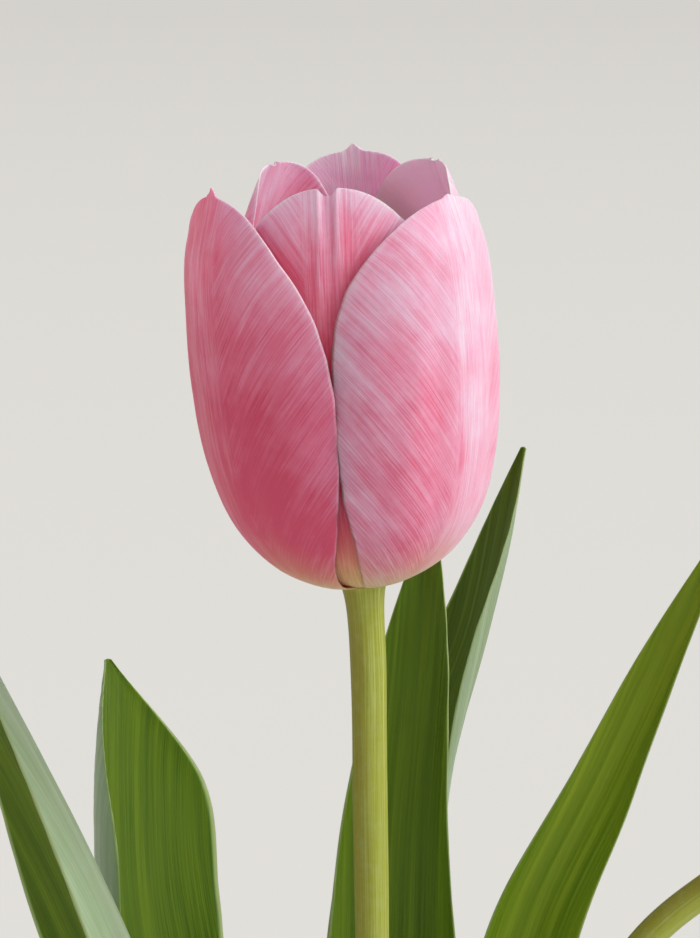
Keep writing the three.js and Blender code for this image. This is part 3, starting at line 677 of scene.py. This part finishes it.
for number, (name, bloom) in enumerate(BLOOMS.items()):
    rows, cols = (130, 61) if name == "middle" else (80, 39)
    for place_in_ring, (petal_name, petal) in enumerate(PETALS.items()):
        seed = 1.9 * place_in_ring + 4.7 * number
        lengthwise = 1 - (1 - np.linspace(0, 1, rows)) ** 1.9
        across = np.linspace(-1, 1, cols)
        s, t = np.meshgrid(lengthwise, np.sign(across) * (1 - (1 - np.abs(across)) ** 1.15), indexing="ij")
        point, normal, painted = petal_surface(petal, bloom, s, t, seed)
        half = PETAL_MARGIN + (PETAL_RIB - PETAL_MARGIN) * (1 - t * t) * (1 - 0.5 * ramp_up(s, 0.6, 1))
        painted["shift"] = np.full_like(s, 3.1 * seed)
        piece = blade(f"petal_{name}_{petal_name}_skin", on_stem(point, bloom),
                      on_stem(normal, bloom, True), half * bloom["size"], (s, t), painted)
        ring = petal_name.split("_")[0]
        piece.data.materials.append(PETAL_SKIN[ring])
        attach(piece, "root")
        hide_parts(f"petal_{name}_{petal_name}")


# ---- the pistils -------------------------------------------------------------------------------
# The seed vessel in the middle of each bloom: a three-sided pale green column of firm
# tissue, with a stigma on top in three curled, velvety cream lobes.
PISTIL_RADIUS, PISTIL_HEIGHT = 2.0, 21.0
# share of the radius, height, and how strongly it is lobed
PISTIL_PROFILE = [[0.8, 0.35, 0], [1.0, 3, 0.05], [0.99, 10, 0.09], [0.84, 16, 0.08],
                  [0.80, 17.6, 0.12], [1.28, 19.0, 0.3], [1.66, 19.9, 0.42], [1.62, 20.5, 0.5],
                  [1.15, 20.9, 0.5], [0.4, 20.4, 0.3]]

pistil_skin, tree = material("pistil_and_stigma")
s = attribute(tree, "s")
where = node(tree, "ShaderNodeTexCoord").outputs["Object"]
grain = noise(tree, where, 1900.0, 2.0)
column = ramp(tree, noise(tree, where, 320.0, 3.0), [(0.3, (0.42, 0.50, 0.20)), (0.7, (0.58, 0.63, 0.33))])
velvet = ramp(tree, grain, [(0.3, (0.66, 0.60, 0.32)), (0.7, (0.86, 0.82, 0.55))])
skin = blend(tree, rise(tree, s, 0.52, 0.60), column, velvet)
nap = node(tree, "ShaderNodeBump", {"Strength": 0.6, "Distance": 0.0003, "Height": grain})
shader = node(tree, "ShaderNodeBsdfPrincipled", {
    "Base Color": skin, "Normal": nap.outputs[0], "Specular IOR Level": 0.3,
    "Roughness": calc(tree, "ADD", calc(tree, "MULTIPLY", grain, 0.3), 0.4),
    "Subsurface Weight": 0.3, "Subsurface Scale": 1.0, "Subsurface Radius": (0.0008, 0.0008, 0.0004)})
finish_material(tree, shader.outputs[0])

for name, bloom in BLOOMS.items():
    s = np.linspace(0, 1, 90)[:, None]
    angle = np.linspace(0, 2 * math.pi, 60, endpoint=False)[None, :]
    size, height, lobed = (column[:, None] for column in along(PISTIL_PROFILE, s[:, 0]).T)
    shape = np.cos(3 * (angle - math.radians(bloom["spin"])))
    velvety = 0.05 * np.sin(23 * angle + 40 * s) * ramp_up(s, 0.5, 0.6)
    r = PISTIL_RADIUS * size * (1 + lobed * shape) + velvety
    z = height - 0.9 * lobed * (1 + shape) * ramp_up(s, 0.55, 0.8) + 0 * angle
    rings = on_stem(np.stack([r * np.sin(angle), -r * np.cos(angle), z], axis=-1), bloom)
    first, last = on_stem(np.array([[0, 0, 0.35], [0, 0, PISTIL_HEIGHT - 1.2]]), bloom)
    piece = ring_solid(f"pistil_{name}_lobed", rings, first, last, {"s": s + 0 * angle})
    piece.data.materials.append(pistil_skin)
    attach(piece, "root")
    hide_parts(f"pistil_{name}")


# ---- the stamens -------------------------------------------------------------------------------
# Six round the pistil: a pale tapering filament that carries a long anther on its point.
# The anther is split by grooves into four pollen sacs and is dusted with yellow pollen.
STAMEN_COUNT, STAMEN_RING, STAMEN_HEIGHT = 6, 4.3, 24.0
FILAMENT_RADIUS, ANTHER_RADIUS = 0.75, 1.25

stamen_skin, tree = material("pollen_dusted_stamen")
s = attribute(tree, "s")
where = node(tree, "ShaderNodeTexCoord").outputs["Object"]
dust = noise(tree, where, 2600.0, 2.0, 0.6)
filament = ramp(tree, noise(tree, where, 500.0, 2.0),
                [(0.3, (0.72, 0.66, 0.42)), (0.7, (0.84, 0.80, 0.60))])
pollen = ramp(tree, dust, [(0.3, (0.52, 0.33, 0.05)), (0.5, (0.74, 0.53, 0.10)),
                           (0.7, (0.88, 0.70, 0.24))])
skin = blend(tree, rise(tree, s, 0.50, 0.54), filament, pollen)
powder = node(tree, "ShaderNodeBump", {"Strength": 0.7, "Distance": 0.0002, "Height": dust})
shader = node(tree, "ShaderNodeBsdfPrincipled", {
    "Base Color": skin, "Normal": powder.outputs[0], "Specular IOR Level": 0.2,
    "Roughness": calc(tree, "ADD", calc(tree, "MULTIPLY", dust, 0.25), 0.65)})
finish_material(tree, shader.outputs[0])

for name, bloom in BLOOMS.items():
    for number in range(STAMEN_COUNT):
        a = math.radians(bloom["spin"] + 60 * number + 25)
        bow = 0.25 * math.sin(2.1 * number)

        def spot(r, z, thick, aside=0.0, a=a, bow=bow):
            x = r * math.sin(a) + aside * bow * math.cos(a)
            y = -r * math.cos(a) + aside * bow * math.sin(a)
            return [*on_stem(np.array([x, y, z]), bloom), thick * bloom["size"]]

        rows = [spot(STAMEN_RING, 2.7, 0.6), spot(STAMEN_RING + 0.5, 6, FILAMENT_RADIUS, 1),
                spot(STAMEN_RING + 1.2, 10, 0.5, 1), spot(STAMEN_RING + 1.45, 12, ANTHER_RADIUS * 0.9),
                spot(STAMEN_RING + 1.8, 18, ANTHER_RADIUS, -1),
                spot(STAMEN_RING + 2.2, STAMEN_HEIGHT, 0.45)]

        def sacs(s, angle, rows=rows):
            thick = along(rows, s[:, 0])[:, 3:]
            grooved = ramp_up(s, 0.5, 0.62) * (1 - ramp_up(s, 0.93, 1.0))
            return thick * (1 - 0.20 * grooved * (1 - np.abs(np.cos(2 * angle)) ** 0.7))

        piece = limb(f"stamen_{name}_{number + 1}_dusted", rows, sacs, 28, 60)
        piece.data.materials.append(stamen_skin)
        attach(piece, "root")
        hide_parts(f"stamen_{name}_{number + 1}")


# ---- the studio ----------------------------------------------------------------------------------
# A wide pale floor that runs out of sight and meets a backdrop of its own brightness,
# painted paler near the vase as a painted pool of light that fades with distance;
# soft light from every side, and one broad soft light from the right and the front.
FLOOR_RADIUS, NEAR_FLOOR, FAR_FLOOR = 25.0, 0.8, 6.0
floor_mesh = bpy.data.meshes.new("studio_floor")
turns = np.linspace(0, 2 * math.pi, 96, endpoint=False)
edge = [(FLOOR_RADIUS * math.cos(a), FLOOR_RADIUS * math.sin(a), 0.0) for a in turns]
floor_mesh.from_pydata(edge, [], [tuple(range(len(turns)))])
floor = bpy.data.objects.new("studio_floor", floor_mesh)
bpy.context.scene.collection.objects.link(floor)
paper, tree = material("pale_paper")
where = node(tree, "ShaderNodeTexCoord").outputs["Object"]
distance = node(tree, "ShaderNodeVectorMath", {0: where}, operation="LENGTH").outputs["Value"]
far = node(tree, "ShaderNodeMapRange", {"Value": distance, "From Min": NEAR_FLOOR,
                                        "From Max": FAR_FLOOR}).outputs[0]
grain = noise(tree, where, 3.0, 3.0)
# painted light: the paper is paler near the vase and darker far away, a painted falloff of the light
paper_with_painted_falloff = blend(tree, far, (0.815, 0.804, 0.781, 1), (0.708, 0.696, 0.673, 1))
near = calc(tree, "MULTIPLY", calc(tree, "SUBTRACT", 1.0, far), 0.06)
paper_with_painted_falloff = blend(tree, calc(tree, "MULTIPLY", grain, near), paper_with_painted_falloff, (0.70, 0.685, 0.65, 1))
shader = node(tree, "ShaderNodeBsdfPrincipled", {
    "Base Color": paper_with_painted_falloff, "Roughness": 1.0, "Specular IOR Level": 0.0})
finish_material(tree, shader.outputs[0])
floor_mesh.materials.append(paper)

world = bpy.data.worlds.new("soft_studio")
world.use_nodes = True
tree = world.node_tree
tree.nodes.clear()
seen = node(tree, "ShaderNodeLightPath").outputs["Is Camera Ray"]
backdrop = node(tree, "ShaderNodeBackground", {"Color": (0.659, 0.643, 0.6095, 1), "Strength": 1.0})
light = node(tree, "ShaderNodeBackground", {"Color": (1.0, 0.99, 0.975, 1), "Strength": 0.47})
both = node(tree, "ShaderNodeMixShader", {0: seen, 1: light.outputs[0], 2: backdrop.outputs[0]})
out = node(tree, "ShaderNodeOutputWorld")
tree.links.new(both.outputs[0], out.inputs["Surface"])
bpy.context.scene.world = world

WINDOW_STRENGTH, WINDOW_SPREAD, WINDOW_WAY = 2.65, math.radians(50), (-0.90, 0.30, -0.62)
window = bpy.data.lights.new("window", "SUN")
window.energy, window.angle, window.color = WINDOW_STRENGTH, WINDOW_SPREAD, (1.0, 0.99, 0.97)
lamp = bpy.data.objects.new("window", window)
bpy.context.scene.collection.objects.link(lamp)
lamp.rotation_euler = Vector(WINDOW_WAY).to_track_quat("-Z", "Y").to_euler()

LENS, SENSOR, DISTANCE, DOWN = 136.2, 36.0, 0.55, math.radians(11)
camera_data = bpy.data.cameras.new("camera")
camera_data.lens, camera_data.sensor_width = LENS, SENSOR
camera_data.clip_start, camera_data.clip_end = 0.01, 60.0
camera = bpy.data.objects.new("camera", camera_data)
bpy.context.scene.collection.objects.link(camera)
target = Vector((-0.0031, -0.012, 0.3244))
camera.location = target + Vector((0, -DISTANCE * math.cos(DOWN), DISTANCE * math.sin(DOWN)))
camera.rotation_euler = (target - camera.location).to_track_quat("-Z", "Y").to_euler()
bpy.context.scene.camera = camera
bpy.context.scene.view_settings.view_transform = "Standard"
